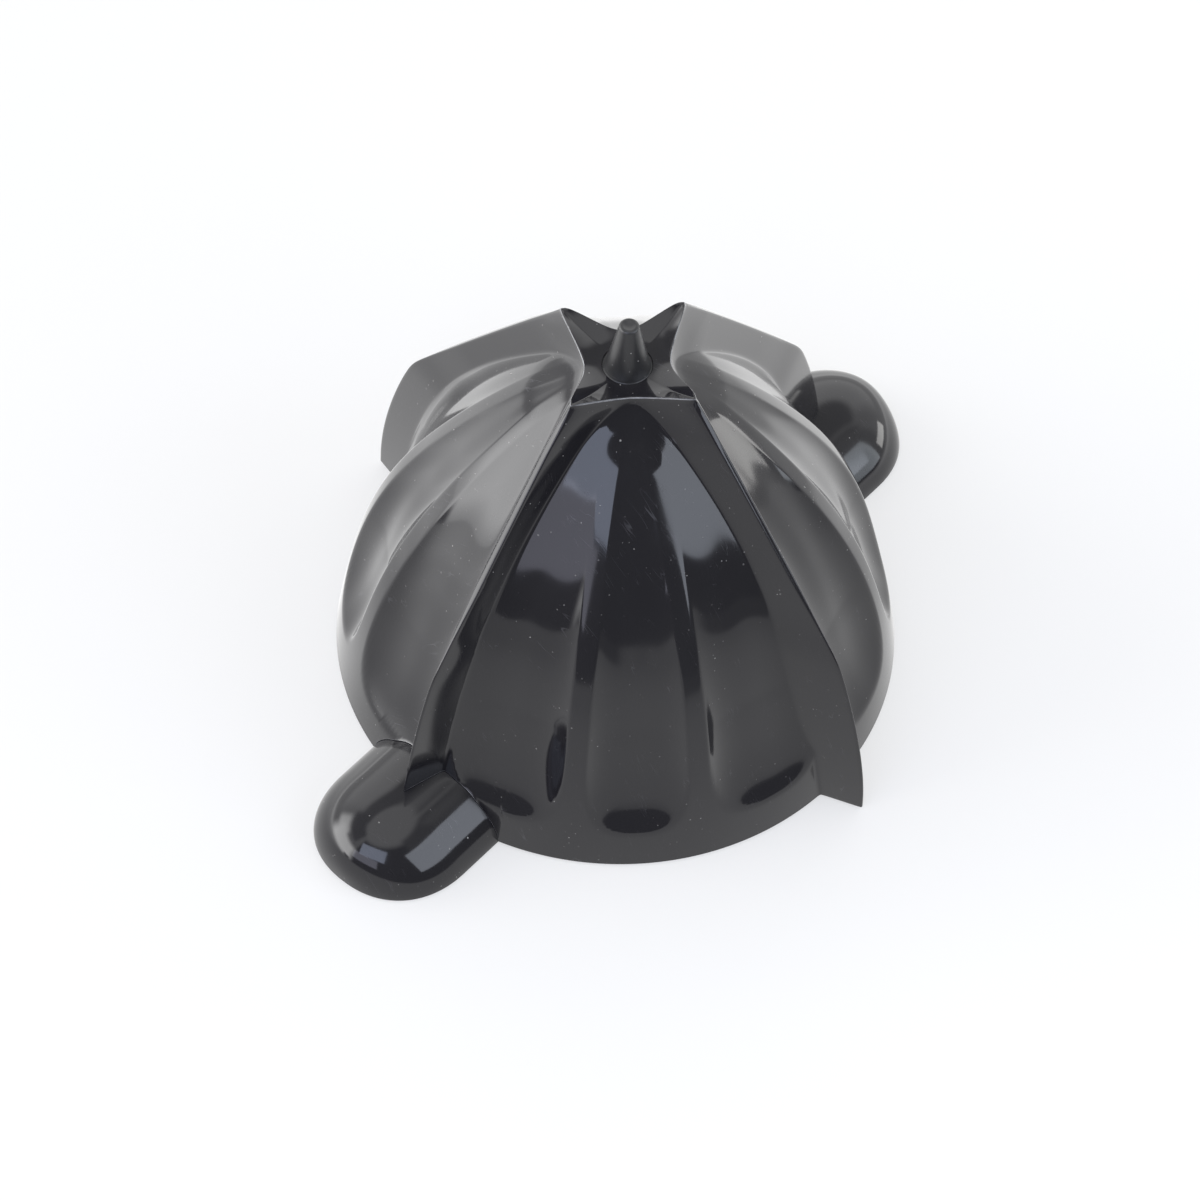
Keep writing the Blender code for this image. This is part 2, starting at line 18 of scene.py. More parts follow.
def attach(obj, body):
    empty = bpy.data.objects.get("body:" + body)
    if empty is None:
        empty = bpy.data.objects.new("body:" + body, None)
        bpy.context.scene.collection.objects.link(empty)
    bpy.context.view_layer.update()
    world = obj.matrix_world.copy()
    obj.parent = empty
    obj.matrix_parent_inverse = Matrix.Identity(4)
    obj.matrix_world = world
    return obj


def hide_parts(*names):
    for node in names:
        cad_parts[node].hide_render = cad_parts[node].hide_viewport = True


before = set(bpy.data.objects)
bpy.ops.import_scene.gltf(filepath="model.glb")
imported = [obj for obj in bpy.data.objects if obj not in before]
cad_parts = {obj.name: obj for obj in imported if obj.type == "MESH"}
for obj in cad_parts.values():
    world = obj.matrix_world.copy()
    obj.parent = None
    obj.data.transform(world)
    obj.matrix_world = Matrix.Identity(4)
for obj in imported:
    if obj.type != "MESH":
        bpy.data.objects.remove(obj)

log = logging.getLogger("press_cone")
Array = np.ndarray
Object = bpy.types.Object
Tree = bpy.types.NodeTree
Socket = bpy.types.NodeSocket
# Attribute that marks the points which get the painted edge highlight.
PAINTED_HIGHLIGHT = "edge_highlight"
BUNCHING = 0.6
MERGE_DISTANCE = 1e-6
SLIVER_LENGTH = 1e-7


# ---------------------------------------------------------------- surfaces

def cubic(start: tuple, first: tuple, second: tuple, end: tuple, count: int = 1500) -> Array:
    """Cubic curve through two ends, pulled by two handles.

    Formula: (1-t)^3 start + 3(1-t)^2 t first + 3(1-t) t^2 second + t^3 end, t from 0 to 1.

    Args:
        start: first end.
        first: handle of the first end.
        second: handle of the second end.
        end: second end.
        count: number of points.

    Returns:
        Points, one row each.
    """
    t = np.linspace(0.0, 1.0, count)[:, None]
    a, b, c, d = (np.array(p, float) for p in (start, first, second, end))
    return (1 - t) ** 3 * a + 3 * (1 - t) ** 2 * t * b + 3 * (1 - t) * t * t * c + t ** 3 * d


def soft_max(a: Array, b: Array, width: float) -> Array:
    """Larger of two values with the corner between them rounded.

    Formula: (a + b + square root of ((a - b)^2 + width^2)) / 2.

    Args:
        a: first value.
        b: second value.
        width: reach of the rounding.

    Returns:
        The rounded maximum.
    """
    return (a + b + np.sqrt((a - b) ** 2 + width ** 2)) / 2.0


def smooth_step(value: Array, low: float, high: float) -> Array:
    """Ramp from 0 at low to 1 at high with flat ends: s^2 (3 - 2 s)."""
    share = np.clip((value - low) / (high - low), 0.0, 1.0)
    return share * share * (3.0 - 2.0 * share)


def spread(start: Array, end: Array, count: int) -> Array:
    """Columns from start up to, and without, end, closer together at both ends.

    Formula: start + (end - start) s, where s mixes (1 - cos(pi k / count)) / 2 and k / count by the
    bunching, with k from 0 to count - 1.

    Args:
        start: first place in each row.
        end: last place in each row.
        count: number of columns.

    Returns:
        One row of columns for each entry of start.
    """
    even = np.arange(count) / count
    bunched = (1.0 - np.cos(math.pi * np.arange(count) / count)) / 2.0
    share = BUNCHING * bunched + (1.0 - BUNCHING) * even
    return start[:, None] + (end - start)[:, None] * share[None, :]


def polar(radius: Array, azimuth: Array, height: Array) -> Array:
    """Points from radius, azimuth and height: (r cos a, r sin a, z)."""
    radius, azimuth, height = np.broadcast_arrays(radius, azimuth, height)
    return np.stack([radius * np.cos(azimuth), radius * np.sin(azimuth), height], -1)


def skin(name: str, grid: Array, wrap_rows: bool = False, angle: float = 60.0,
         highlight_share: Array | None = None) -> Object:
    """Make a mesh object of a grid of points whose last column joins the first.

    Args:
        name: name of the piece.
        grid: points as rows by columns by three.
        wrap_rows: join the last row to the first too.
        angle: edges sharper than this, in degrees, stay sharp.
        highlight_share: how much of the painted edge highlight each point gets, from 0 to 1, kept as the
            attribute the plastics read.

    Returns:
        The object, in the scene, with its faces outward and shaded smooth.
    """
    rows, columns = grid.shape[:2]
    index = np.arange(rows * columns).reshape(rows, columns)
    if wrap_rows:
        index = np.vstack([index, index[:1]])
    index = np.hstack([index, index[:, :1]])
    quads = np.stack([index[:-1, :-1], index[:-1, 1:], index[1:, 1:], index[1:, :-1]], -1)
    mesh = bpy.data.meshes.new(name)
    mesh.from_pydata(grid.reshape(-1, 3), [], quads.reshape(-1, 4).tolist())
    if highlight_share is not None:
        mesh.attributes.new(PAINTED_HIGHLIGHT, "FLOAT", "POINT").data.foreach_set("value", highlight_share.ravel())
    bm = bmesh.new()
    bm.from_mesh(mesh)
    bmesh.ops.remove_doubles(bm, verts=bm.verts, dist=MERGE_DISTANCE)
    bmesh.ops.dissolve_degenerate(bm, edges=bm.edges, dist=SLIVER_LENGTH)
    bmesh.ops.recalc_face_normals(bm, faces=bm.faces)
    bm.to_mesh(mesh)
    bm.free()
    mesh.shade_smooth()
    mesh.set_sharp_from_angle(angle=math.radians(angle))
    piece = bpy.data.objects.new(name, mesh)
    bpy.context.scene.collection.objects.link(piece)
    return piece


def place(piece: Object, body: str, node: str, material: bpy.types.Material) -> Object:
    """Give a piece its plastic and its body, and hide the imported node that it stands in for."""
    piece.data.materials.append(material)
    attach(piece, body)
    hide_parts(node)
    return piece


# ---------------------------------------------------------------- finishes

SCRATCH_RUNS = ((0.35, 1.0), (1.45, 1.7), (2.55, 0.7))
SCRATCH_STRETCH = (900.0, 90.0)
SCRATCH_WIDTH = 0.010
SCRATCH_PATCHES = (190.0, 0.58, 0.74)
DUST_SIZES = ((620.0, 0.11, 0.62), (1500.0, 0.20, 0.58))
DUST_CHOSEN = (0.70, 1.00)
SCRATCH_COLOUR = (0.10, 0.10, 0.11, 1.0)
DUST_COLOUR = (0.45, 0.44, 0.42, 1.0)
# Painted highlight: a lighter colour for marked edges, and the noise that breaks it up.
EDGE_HIGHLIGHT_COLOUR = (0.30, 0.30, 0.31, 1.0)
EDGE_HIGHLIGHT_NOISE = (420.0, 0.30, 0.60, 0.35, 1.0)
SCRATCH_DEPTH = 4e-6
DUST_HEIGHT = 2e-5


class NodeBench:
    """Short hand for laying shader nodes in a tree."""

    def __init__(self, tree: Tree) -> None:
        """Keep the tree."""
        self.tree = tree

    def node(self, kind: str, **settings: object) -> bpy.types.Node:
        """Add a node and set its properties."""
        made = self.tree.nodes.new(kind)
        for key, value in settings.items():
            setattr(made, key, value)
        return made

    def feed(self, socket: Socket, value: object) -> None:
        """Link a socket to an output, or set it to a number or colour."""
        if isinstance(value, bpy.types.NodeSocket):
            self.tree.links.new(value, socket)
        else:
            socket.default_value = value

    def math(self, operation: str, *values: object, clamp: bool = False) -> Socket:
        """Arithmetic node."""
        made = self.node("ShaderNodeMath", operation=operation, use_clamp=clamp)
        for socket, value in zip(made.inputs, values):
            self.feed(socket, value)
        return made.outputs[0]

    def ramp(self, value: Socket, low: float, high: float, to_low: float = 0.0,
             to_high: float = 1.0) -> Socket:
        """Smooth ramp of a value between two limits."""
        made = self.node("ShaderNodeMapRange", interpolation_type="SMOOTHSTEP")
        for socket, number in zip(made.inputs, (value, low, high, to_low, to_high)):
            self.feed(socket, number)
        return made.outputs[0]

    def mix(self, share: object, first: object, second: object) -> Socket:
        """Mix of two colours."""
        made = self.node("ShaderNodeMix", data_type="RGBA")
        self.feed(made.inputs["Factor"], share)
        self.feed(made.inputs[6], first)
        self.feed(made.inputs[7], second)
        return made.outputs[2]

    def place(self, scale: tuple, turn: tuple = (0.0, 0.0, 0.0)) -> Socket:
        """Object coordinates, stretched and turned."""
        coordinates = self.node("ShaderNodeTexCoord")
        mapping = self.node("ShaderNodeMapping")
        self.feed(mapping.inputs["Vector"], coordinates.outputs["Object"])
        mapping.inputs["Scale"].default_value = scale
        mapping.inputs["Rotation"].default_value = turn
        return mapping.outputs[0]

    def noise(self, where: Socket, scale: float, detail: float = 3.0, rough: float = 0.55) -> Socket:
        """Cloudy noise, about 0 to 1."""
        made = self.node("ShaderNodeTexNoise")
        self.feed(made.inputs["Vector"], where)
        made.inputs["Scale"].default_value = scale
        made.inputs["Detail"].default_value = detail
        made.inputs["Roughness"].default_value = rough
        return made.outputs[0]

    def cells(self, where: Socket, scale: float) -> bpy.types.Node:
        """Cell pattern: distance to the nearest random point, and that point's colour."""
        made = self.node("ShaderNodeTexVoronoi", feature="F1")
        self.feed(made.inputs["Vector"], where)
        made.inputs["Scale"].default_value = scale
        return made


def new_group(name: str, inputs: dict, outputs: tuple) -> tuple:
    """Start a shader node group.

    Args:
        name: group's name.
        inputs: name of each number that goes in, with its usual value.
        outputs: name of each number that comes out.

    Returns:
        The group, its bench, its input node and its output node.
    """
    group = bpy.data.node_groups.new(name, "ShaderNodeTree")
    for label, value in inputs.items():
        socket = group.interface.new_socket(label, in_out="INPUT", socket_type="NodeSocketFloat")
        socket.default_value = value
    for label in outputs:
        group.interface.new_socket(label, in_out="OUTPUT", socket_type="NodeSocketFloat")
    bench = NodeBench(group)
    return group, bench, bench.node("NodeGroupInput"), bench.node("NodeGroupOutput")


def scratch_group() -> Tree:
    """Hairline scratches in three directions, broken up into short strokes.

    Each direction is noise stretched ten to one, of which only a thin band near its middle is kept.
    A slower noise keeps the strokes to small patches.
    """
    group, bench, given, out = new_group("hairline_scratches", {"Amount": 0.5}, ("Mask",))
    total = None
    across, along = SCRATCH_STRETCH
    often, low, high = SCRATCH_PATCHES
    for turn, scale in SCRATCH_RUNS:
        where = bench.place((across * scale, along * scale, along * scale), (0.25, 0.4, turn))
        fine = bench.noise(where, 1.0, 2.0, 0.5)
        line = bench.math("ABSOLUTE", bench.math("SUBTRACT", fine, 0.5))
        stroke = bench.ramp(line, 0.0, SCRATCH_WIDTH, 1.0, 0.0)
        cloud = bench.noise(bench.place((1.0, 1.0, 1.0), (turn, 0.0, 0.0)), often * scale)
        patch = bench.ramp(cloud, low, high)
        stroke = bench.math("MULTIPLY", stroke, patch)
        total = stroke if total is None else bench.math("MAXIMUM", total, stroke)
    bench.feed(out.inputs["Mask"], bench.math("MULTIPLY", total, given.outputs["Amount"], clamp=True))
    return group


def dust_group() -> Tree:
    """Specks of dust and dried pulp: small dots at random places, of two sizes, thicker in patches."""
    group, bench, given, out = new_group("dust_specks", {"Amount": 0.5}, ("Mask",))
    total = None
    for scale, size, low in DUST_SIZES:
        where = bench.place((1.0, 1.0, 1.0))
        cells = bench.cells(where, scale)
        dot = bench.ramp(cells.outputs["Distance"], size * 0.5, size, 1.0, 0.0)
        split = bench.node("ShaderNodeSeparateColor")
        bench.feed(split.inputs[0], cells.outputs["Color"])
        chosen = bench.ramp(split.outputs[0], *DUST_CHOSEN)
        patch = bench.ramp(bench.noise(where, scale * 0.16, 2.0), low - 0.1, low + 0.06)
        dot = bench.math("MULTIPLY", bench.math("MULTIPLY", dot, chosen), patch)
        total = dot if total is None else bench.math("MAXIMUM", total, dot)
    bench.feed(out.inputs["Mask"], bench.math("MULTIPLY", total, given.outputs["Amount"], clamp=True))
    return group


def smudge_group() -> Tree:
    """Cloudy film left by hands and rinsing, and the slow waves of the moulded surface."""
    group, bench, given, out = new_group("dried_film", {"Scale": 70.0}, ("Mask", "Waves"))
    made = bench.node("ShaderNodeTexNoise")
    bench.feed(made.inputs["Vector"], bench.place((1.0, 1.0, 0.6)))
    bench.feed(made.inputs["Scale"], given.outputs["Scale"])
    made.inputs["Detail"].default_value = 5.0
    bench.feed(out.inputs["Mask"], bench.ramp(made.outputs[0], 0.38, 0.72))
    bench.feed(out.inputs["Waves"], bench.noise(bench.place((1.0, 1.0, 1.0)), 140.0, 1.0))
    return group


class Finish(Enum):
    """The plastics of the cone set."""

    GLOSS = "black_gloss"
    PIN = "black_satin"
    BUSH = "grey_matt"


@dataclass(frozen=True)
class Plastic:
    """A moulded plastic: its colour, its gloss and how worn it is."""

    colour: tuple
    roughness: float
    film_roughness: float
    film_colour: tuple
    film_share: float
    scratches: float
    dust: float
    wave_height: float
    grain_height: float
    grain_scale: float

    def material(self, name: str, groups: dict) -> bpy.types.Material:
        """Lay the plastic's nodes.

        Args:
            name: name of the material.
            groups: the shared groups for scratches, dust and film.

        Returns:
            The material.
        """
        made = bpy.data.materials.new(name)
        made.use_nodes = True
        bench = NodeBench(made.node_tree)
        shader = made.node_tree.nodes["Principled BSDF"]
        shader.inputs["IOR"].default_value = 1.5
        shader.inputs["Metallic"].default_value = 0.0
        scratches = bench.node("ShaderNodeGroup", node_tree=groups["scratches"])
        scratches.inputs["Amount"].default_value = self.scratches
        dust = bench.node("ShaderNodeGroup", node_tree=groups["dust"])
        dust.inputs["Amount"].default_value = self.dust
        film = bench.node("ShaderNodeGroup", node_tree=groups["film"])
        worn = bench.math("MULTIPLY", film.outputs["Mask"], self.film_share)
        colour = bench.mix(worn, (*self.colour, 1.0), (*self.film_colour, 1.0))
        colour = bench.mix(scratches.outputs["Mask"], colour, SCRATCH_COLOUR)
        colour = bench.mix(dust.outputs["Mask"], colour, DUST_COLOUR)
        # Painted highlight: marked edges get a lighter colour in place of their bright lines of light.
        highlight_amount = bench.node("ShaderNodeAttribute", attribute_name=PAINTED_HIGHLIGHT).outputs["Fac"]
        often, *limits = EDGE_HIGHLIGHT_NOISE
        uneven = bench.ramp(bench.noise(bench.place((1.0, 1.0, 1.0)), often, 2.0), *limits)
        colour = bench.mix(bench.math("MULTIPLY", highlight_amount, uneven), colour, EDGE_HIGHLIGHT_COLOUR)
        bench.feed(shader.inputs["Base Color"], colour)
        rough = bench.ramp(film.outputs["Mask"], 0.0, 1.0, self.roughness, self.film_roughness)
        rough = bench.math("ADD", rough, bench.math("MULTIPLY", scratches.outputs["Mask"], 0.25))
        rough = bench.math("ADD", rough, bench.math("MULTIPLY", dust.outputs["Mask"], 0.45), clamp=True)
        bench.feed(shader.inputs["Roughness"], rough)
        grain = bench.noise(bench.place((1.0, 1.0, 1.0)), self.grain_scale, 2.0)
        height = bench.math("MULTIPLY", film.outputs["Waves"], self.wave_height)
        height = bench.math("ADD", height, bench.math("MULTIPLY", grain, self.grain_height))
        height = bench.math("SUBTRACT", height,
                            bench.math("MULTIPLY", scratches.outputs["Mask"], SCRATCH_DEPTH))
        height = bench.math("ADD", height, bench.math("MULTIPLY", dust.outputs["Mask"], DUST_HEIGHT))
        bump = bench.node("ShaderNodeBump")
        bump.inputs["Strength"].default_value = 1.0
        bump.inputs["Distance"].default_value = 1.0
        bench.feed(bump.inputs["Height"], height)
        bench.feed(shader.inputs["Normal"], bump.outputs["Normal"])
        return made


PLASTICS = {
    Finish.GLOSS: Plastic((0.0100, 0.0096, 0.0118), 0.07, 0.12, (0.0130, 0.0127, 0.0145), 0.6,
                          0.30, 0.45, 0.8e-5, 0.0, 900.0),
    Finish.PIN: Plastic((0.016, 0.016, 0.017), 0.36, 0.46, (0.026, 0.026, 0.027), 0.5,
                        0.30, 0.5, 1.0e-5, 5.0e-6, 2600.0),
    Finish.BUSH: Plastic((0.120, 0.120, 0.125), 0.45, 0.55, (0.150, 0.150, 0.150), 0.5,
                         0.30, 0.3, 1.0e-5, 3.0e-6, 2200.0),
}


class FinishShelf:
    """Makes each material once for each slot."""

    def __init__(self) -> None:
        """Build the shared groups."""
        self.groups = {"scratches": scratch_group(), "dust": dust_group(), "film": smudge_group()}

    def take(self, finish: Finish, slot: str) -> bpy.types.Material:
        """Material of a finish for one slot."""
        return PLASTICS[finish].material(f"{finish.value}_{slot}", self.groups)


# ---------------------------------------------------------------- large cone

@dataclass
class LargeCone:
    """Fluted dome with four fins, a hollow crown and a notch over each wiper cap."""

    rim_radius: float = 0.0410
    rim_lift: float = 0.0004
    wall: float = 0.0020
    dome_foot_handle: tuple = (0.0039, 0.0265)
    dome_top_handle: tuple = (0.0255, 0.0233)
    crown_mid_radius: float = 0.0060
    crown_mid_height: float = 0.0630
    crown_corner_radius: float = 0.01150
    crown_corner_rise: float = 0.00225
    crown_corner_round: float = 0.11
    crown_draw: float = 0.0080
    crown_keep_power: int = 6
    lip: float = 0.00028
    well_drop: float = 0.0002
    well_curve: float = 1.8
    well_bunching: float = 1.2
    hole_radius: float = 0.00352
    hole_edge: float = 0.0001
    outside_rows: int = 140
    well_rows: int = 16
    inside_rows: int = 26
    column_counts: tuple = (3, 12, 16, 12, 8, 24, 8, 12, 16, 13, 3)
    least_column: float = math.radians(0.6)
    fin_reach: float = 0.0058
    fin_land: float = 0.00078
    fin_land_low: float = 0.00030
    fin_land_heights: tuple = (0.033, 0.042)
    fin_land_round: float = 0.00012
    lead_slope: float = 0.37
    trail_slope: float = 0.25
    open_slope: float = 0.45
    open_height: float = 0.0560
    fin_turn: float = math.radians(0.8)
    fin_turn_fade: float = 0.0060
    shoulder: tuple = (0.0397, 0.0300)
    foot_handle: float = 0.0129
    shoulder_handle: float = 0.0010
    fin_bow: float = 0.0003
    flute_depth: float = 0.0028
    flute_top_depth: float = 0.00002
    flute_fade: float = 2.1
    flute_hold: float = 1.25
    flute_power: float = 3.2
    flute_end: float = 0.0066
    flute_end_length: float = 0.0160
    flute_end_power: float = 3.4
    flute_round: float = 0.05
    ridge_places: tuple = (math.radians(30.7), math.radians(57.6))
    ridge_land_low: float = 0.0031
    ridge_land_top: float = 0.0023
    crease_round: float = 0.00035
    notch_half_width: float = 0.01205
    notch_height: float = 0.00876
    notch_rise: float = 1.32
    notch_turn: float = math.radians(1.0)
    notch_side: float = 0.7
    notch_passes: int = 8
    # Painted highlight: how strongly the lip and the edge over the caps get the lighter colour, and the
    # heights over which it fades in.
    lip_highlight: float = 0.7
    edge_highlight: float = 0.6
    highlight_heights: tuple = (0.0002, 0.0015)
    edge: float = 0.00018
    outer_edge: float = 0.00016
    sector: float = field(default=math.pi / 2.0, init=False)

    def __post_init__(self) -> None:
        """Work out the two profiles."""
        foot = (self.rim_radius, self.rim_lift)
        top = (self.crown_mid_radius + self.flute_top_depth, self.crown_mid_height)
        (foot_in, foot_up), (top_out, top_down) = self.dome_foot_handle, self.dome_top_handle
        self.dome_curve = cubic(foot, (foot[0] - foot_in, foot[1] + foot_up),
                                (top[0] + top_out, top[1] - top_down), top)
        self.crest_curve = self.crest_profile()

    def crest_profile(self) -> Array:
        """Fins' crest, radius and height: a cubic foot and a bowed straight line up to the crown.

        A moving average rounds the shoulder where the two meet.

        Returns:
            Points of the profile, from the foot up.
        """
        foot = (self.rim_radius + self.fin_reach, self.rim_lift)
        crown = (self.crown_corner_radius + self.fin_land / 2.0,
                 self.crown_mid_height + self.crown_corner_rise)
        slope = (self.shoulder[0] - crown[0]) / (crown[1] - self.shoulder[1])
        lower = cubic(foot, (foot[0], foot[1] + self.foot_handle),
                      (self.shoulder[0] + self.shoulder_handle * slope,
                       self.shoulder[1] - self.shoulder_handle), self.shoulder)
        share = np.linspace(0.0, 1.0, 600)[1:]
        radius = self.shoulder[0] + (crown[0] - self.shoulder[0]) * share
        radius += self.fin_bow * 4.0 * share * (1.0 - share)
        height = self.shoulder[1] + (crown[1] - self.shoulder[1]) * share
        both = np.vstack([lower, np.stack([radius, height], 1)])
        even = np.linspace(both[0, 1], both[-1, 1], 1200)
        evened = np.interp(even, both[:, 1], both[:, 0])
        reach = 60
        window = np.hanning(2 * reach + 1)
        padded = np.pad(evened, reach, mode="reflect", reflect_type="odd")
        return np.stack([np.convolve(padded, window / window.sum(), mode="valid"), even], 1)

    def crest(self, height: Array) -> Array:
        """Radius of the fins' crest at a height."""
        return np.interp(height, self.crest_curve[:, 1], self.crest_curve[:, 0])

    def turn(self, height: Array) -> Array:
        """Angle by which the fins lag behind the crown's corners."""
        top = self.crown_mid_height + self.crown_corner_rise
        return self.fin_turn * np.clip((top - height) / self.fin_turn_fade, 0.0, 1.0)

    def crown_side(self, azimuth: Array) -> tuple:
        """Angle from the middle of the crown's side, and the place along it from 0 to 1.

        Formula: the place flattens towards the corner as k - square root of ((1 - t)^2 + w^2), with
        t the straight place, w the corner's rounding and k the value that makes the middle 0.

        Args:
            azimuth: angle round the axis.

        Returns:
            The angle and the place.
        """
        local = np.mod(azimuth, self.sector) - self.sector / 2.0
        half = math.atan(self.fin_land / 2.0 / self.crown_corner_radius)
        straight = np.clip(np.tan(np.abs(local)) / math.tan(self.sector / 2.0 - half), 0.0, 1.0)
        start = math.hypot(1.0, self.crown_corner_round)
        rounded = start - np.hypot(1.0 - straight, self.crown_corner_round)
        return local, rounded / (start - self.crown_corner_round)

    def crown_height(self, azimuth: Array) -> Array:
        """Height of the crown's rim: a parabola from corner to corner, its corners rounded."""
        return self.crown_mid_height + self.crown_corner_rise * self.crown_side(azimuth)[1] ** 2

    def crown_radius(self, azimuth: Array) -> Array:
        """Radius of the crown's rim: a square with hollow sides and its corners on the fins."""
        local, chord = self.crown_side(azimuth)
        corner = (self.crown_corner_radius + self.fin_land / 2.0) * math.sqrt(0.5)
        reach = self.crown_mid_radius + (corner - self.crown_mid_radius) * chord ** 2
        return reach / np.cos(local)

    def dome(self, azimuth: Array, height: Array, inset: float = 0.0) -> Array:
        """Radius of the fluted dome.

        Formula: the ridge's radius less depth times the positive part of 1 - u^n - e^m, where u goes
        from 0 in the middle of a flute to 1 at the edge of the ridge's land, and e from 0 to more
        than 1 down the flute's end. The positive part's corner is rounded. The depth falls from the
        flute's foot to the crown as (1 - rise^h)^p.

        Args:
            azimuth: angle round the axis.
            height: height above the table.
            inset: thickness of a wall measured inwards, square to the dome's slope.

        Returns:
            The radius.
        """
        ridge = np.interp(height, self.dome_curve[:, 1], self.dome_curve[:, 0])
        slope = np.gradient(self.dome_curve[:, 0], self.dome_curve[:, 1])
        lean = np.interp(height, self.dome_curve[:, 1], slope)
        full = self.flute_end + self.flute_end_length
        rise = np.clip((height - full) / (self.crown_mid_height - full), 0.0, 1.0)
        edges = np.array([0.0, *self.ridge_places, self.sector])
        local = np.mod(azimuth, self.sector)
        cell = np.clip(np.searchsorted(edges, local, side="right") - 1, 0, 2)
        half = (edges[cell + 1] - edges[cell]) / 2.0 - self.ridge_land(height) / 2.0 / ridge
        across = np.abs(local - (edges[cell + 1] + edges[cell]) / 2.0) / half
        along = np.clip((full - height) / self.flute_end_length, 0.0, None)
        depth = self.flute_top_depth + (self.flute_depth - self.flute_top_depth) \
            * (1.0 - rise ** self.flute_hold) ** self.flute_fade
        hollow = 1.0 - across ** self.flute_power - along ** self.flute_end_power
        hollow = (hollow + np.sqrt(hollow ** 2 + self.flute_round ** 2)) / 2.0
        return ridge - depth * hollow - inset * np.sqrt(1.0 + lean ** 2)

    def ridge_land(self, height: Array) -> Array:
        """Width of the ridges' land: wider at the foot than at the crown."""
        share = np.clip((height - self.flute_end) / (self.crown_mid_height - self.flute_end), 0.0, 1.0)
        return self.ridge_land_low + (self.ridge_land_top - self.ridge_land_low) * share

    def fin(self, azimuth: Array, height: Array) -> Array:
        """Radius of the fins.

        Formula: a face is the line r (cos a + |sin a| / s) = crest + land / (2 s), a land is
        r cos a = crest, and the smaller of the two is taken, with its corner rounded.

        Args:
            azimuth: angle round the axis.
            height: height above the table.

        Returns:
            The radius.
        """
        turned = azimuth + self.turn(height)
        local = np.mod(turned + self.sector / 2.0, self.sector) - self.sector / 2.0
        crest = self.crest(height)
        opening = np.clip((height - self.open_height)
                          / (self.crown_mid_height - self.open_height), 0.0, 1.0) ** 2
        slope = np.where(local > 0.0, self.trail_slope, self.lead_slope)
        slope = slope + (self.open_slope - slope) * opening
        half = self.land(height) / 2.0
        face = (crest + half / slope) / (np.cos(local) + np.abs(np.sin(local)) / slope)
        return -soft_max(-face, -crest / np.cos(local), self.fin_land_round)

    def land(self, height: Array) -> Array:
        """Width of the fins' land: narrow below the shoulder, wider above it."""
        share = smooth_step(height, *self.fin_land_heights)
        return self.fin_land_low + (self.fin_land - self.fin_land_low) * share

    def outside(self, azimuth: Array, height: Array) -> Array:
        """Radius of the whole outside: dome and fins with a rounded crease, drawn to the crown.

        The flutes bend into the crown's rim, and the fins keep their straight line up to it: what a
        place keeps of its own radius grows with its place along the crown's side, to a high power.

        Args:
            azimuth: angle round the axis.
            height: height above the table.

        Returns:
            The radius.
        """
        top = self.crown_height(azimuth)
        radius = soft_max(self.dome(azimuth, height), self.fin(azimuth, height), self.crease_round)
        above = soft_max(self.dome(azimuth, top), self.fin(azimuth, top), self.crease_round)
        kept = self.crown_side(azimuth)[1] ** self.crown_keep_power
        goal = self.crown_radius(azimuth) + (radius - above) * kept
        share = np.clip((height - top) / self.crown_draw + 1.0, 0.0, 1.0)
        return radius + (goal - radius) * share ** 2

    def columns(self, share: Array) -> Array:
        """Azimuth of each column in each row.

        The columns keep to the fins' lands, faces and creases and to the ridges, so that no edge
        crosses from column to column.

        Args:
            share: place of each row, from 0 at the rim to 1 at the crown.

        Returns:
            Azimuths as rows by columns, all the way round.
        """
        corner = self.rim_lift + share * (self.crown_height(np.zeros(1)) - self.rim_lift)
        crest = -self.turn(corner)
        dense = np.linspace(0.0, self.sector, 721)[None, :] + crest[:, None]
        height = self.rim_lift + share[:, None] * (self.crown_height(dense) - self.rim_lift)
        over = self.fin(dense, height) - self.dome(dense, height)
        step = dense[0, 1] - dense[0, 0]
        trail = crest + step * np.argmax(over < 0.0, 1)
        lead = crest + self.sector - step * np.argmax(over[:, ::-1] < 0.0, 1)
        smooth = np.hanning(9) / np.hanning(9).sum()
        trail, lead = (np.convolve(np.pad(v, 4, mode="edge"), smooth, mode="valid")
                       for v in (trail, lead))
        half = np.arctan(self.land(corner) / 2.0 / self.crest(corner))
        notch = math.asin(self.notch_half_width / self.rim_radius)
        ridge = np.interp(corner, self.dome_curve[:, 1], self.dome_curve[:, 0])
        land = self.ridge_land(corner) / 2.0 / ridge
        first, second = self.ridge_places
        stops = np.stack([np.full_like(land, notch - self.notch_turn), first - land, first + land,
                          second - land, second + land,
                          np.full_like(land, self.sector - notch - self.notch_turn)], 1)
        order = np.arange(1, 7)
        stops = np.clip(stops, trail[:, None] + self.least_column * order[None, :],
                        lead[:, None] - self.least_column * (7 - order)[None, :])
        marks = [crest, crest + half, trail, *stops.T, lead, crest + self.sector - half,
                 crest + self.sector]
        parts = [spread(a, b, n) for a, b, n in zip(marks, marks[1:], self.column_counts)]
        one = np.hstack(parts)
        return np.hstack([one + k * self.sector for k in range(4)])

